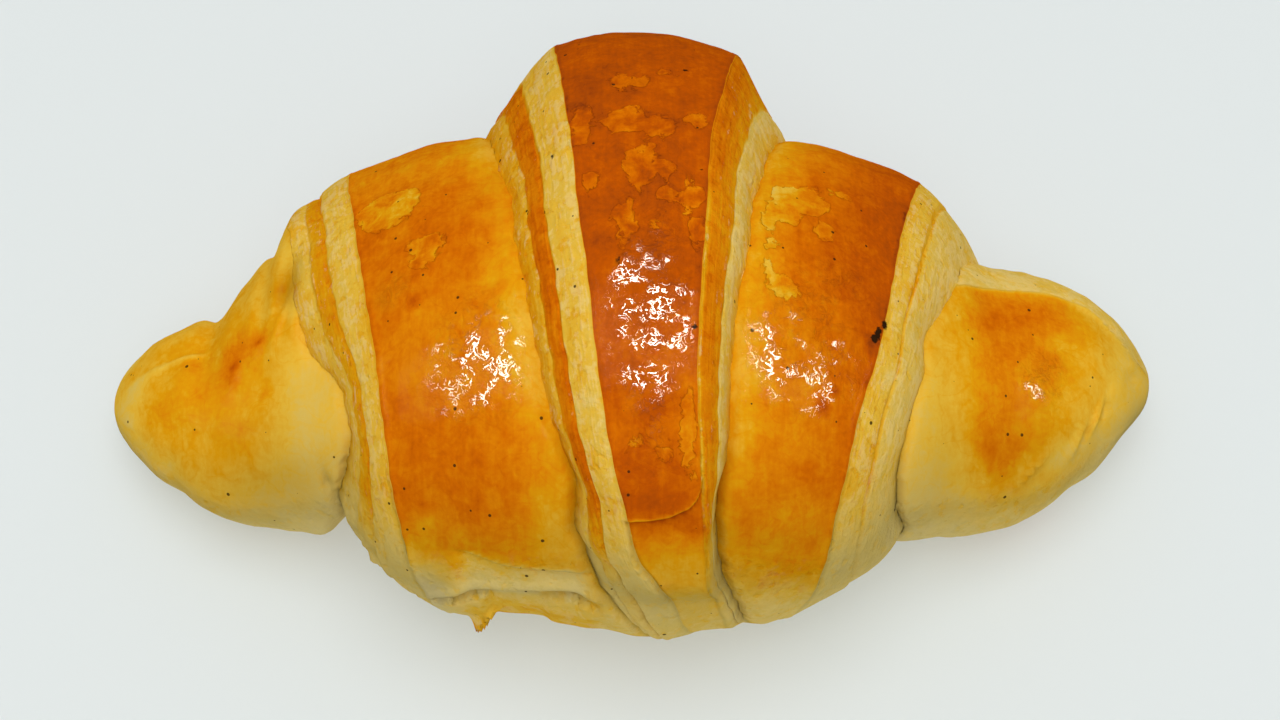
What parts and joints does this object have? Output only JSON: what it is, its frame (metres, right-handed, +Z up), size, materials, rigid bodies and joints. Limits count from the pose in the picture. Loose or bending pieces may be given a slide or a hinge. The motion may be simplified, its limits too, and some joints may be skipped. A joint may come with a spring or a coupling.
{
  "type": "croissant",
  "caption": "Baked croissant: a rolled, slightly curved piece of laminated dough with stepped turns and a glossy egg-glazed crust, tapering to rounded ends.",
  "frame": {"origin": "centre of the outer box at the height of the flat underside", "axes": "+X along the roll from end to end, -Y towards the side where the outer flap ends, +Z up"},
  "size_m": [0.14, 0.0832, 0.0589],
  "materials": {
    "baked_dough": "baked laminated dough with a glossy egg glaze, amber to golden, cream at the cut edges"
  },
  "bodies": {
    "root": {"croissant": "baked_dough"}
  },
  "joints": []
}
